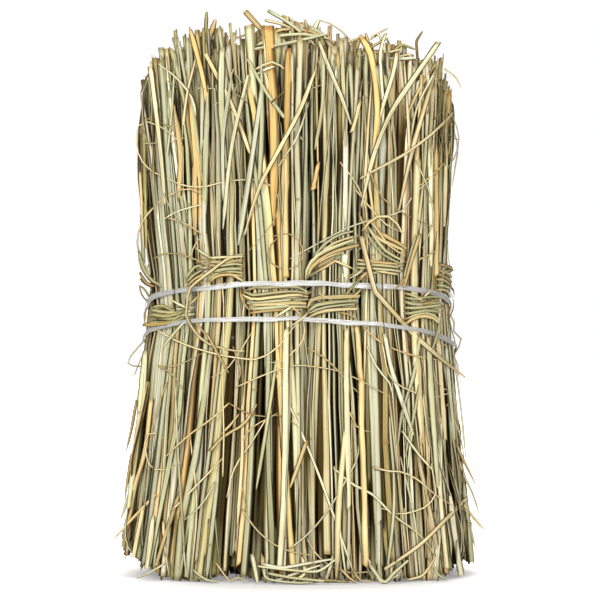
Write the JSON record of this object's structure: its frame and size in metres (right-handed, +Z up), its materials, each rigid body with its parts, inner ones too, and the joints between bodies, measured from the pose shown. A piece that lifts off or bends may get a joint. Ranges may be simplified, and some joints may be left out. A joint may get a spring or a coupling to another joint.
{
  "type": "bunch of kusha grass",
  "caption": "Upright block of dried grass: small hanks of stalks, each bound with a wisp of grass, held together round the middle by two loops of flat plastic twine.",
  "frame": {"origin": "on the floor, under the middle of the bunch's box", "axes": "+Z up along the stalks, +X to the right as seen from the front, +Y to the back"},
  "size_m": [0.1681, 0.1087, 0.2564],
  "materials": {
    "straw": "dry grass stalks, matt with a faint sheen along the stalk",
    "green_straw": "dry grass stalks still grey-green, matt",
    "gold_straw": "ripe golden stalks, slightly glossy",
    "wisp": "twisted wisp of dry grass, matt",
    "twine": "flat fibrillated plastic twine, white and silky"
  },
  "bodies": {
    "root": {"hank_front_1": "green_straw", "hank_front_2": "straw", "hank_front_3": "straw", "hank_front_4": "green_straw", "hank_front_5": "straw", "hank_front_6": "straw", "hank_side_left": "green_straw", "hank_middle_left": "straw", "hank_middle": "straw", "hank_middle_right": "green_straw", "hank_side_right": "straw", "hank_back_1": "straw", "hank_back_2": "green_straw", "hank_back_3": "straw", "hank_back_4": "straw", "hank_back_5": "green_straw", "hank_back_6": "straw", "tie_front_1": "wisp", "tie_front_2": "wisp", "tie_front_3": "wisp", "tie_front_4": "wisp", "tie_front_5": "wisp", "tie_front_6": "wisp", "tie_side_left": "wisp", "tie_middle_left": "wisp", "tie_middle": "wisp", "tie_middle_right": "wisp", "tie_side_right": "wisp", "tie_back_1": "wisp", "tie_back_2": "wisp", "tie_back_3": "wisp", "tie_back_4": "wisp", "tie_back_5": "wisp", "tie_back_6": "wisp", "tie_front_4_upper": "wisp", "twine_upper": "twine", "twine_lower": "twine", "blade_top_right": "straw", "blade_top_left": "straw", "bent_blade": "gold_straw", "bent_blade_left": "straw", "stick_right": "gold_straw", "foot_stalk_left": "gold_straw", "foot_stalk_right": "straw", "spike_right": "gold_straw", "gold_stalk": "gold_straw", "back_blade_long": "straw", "back_blade_bent": "gold_straw"}
  },
  "joints": []
}
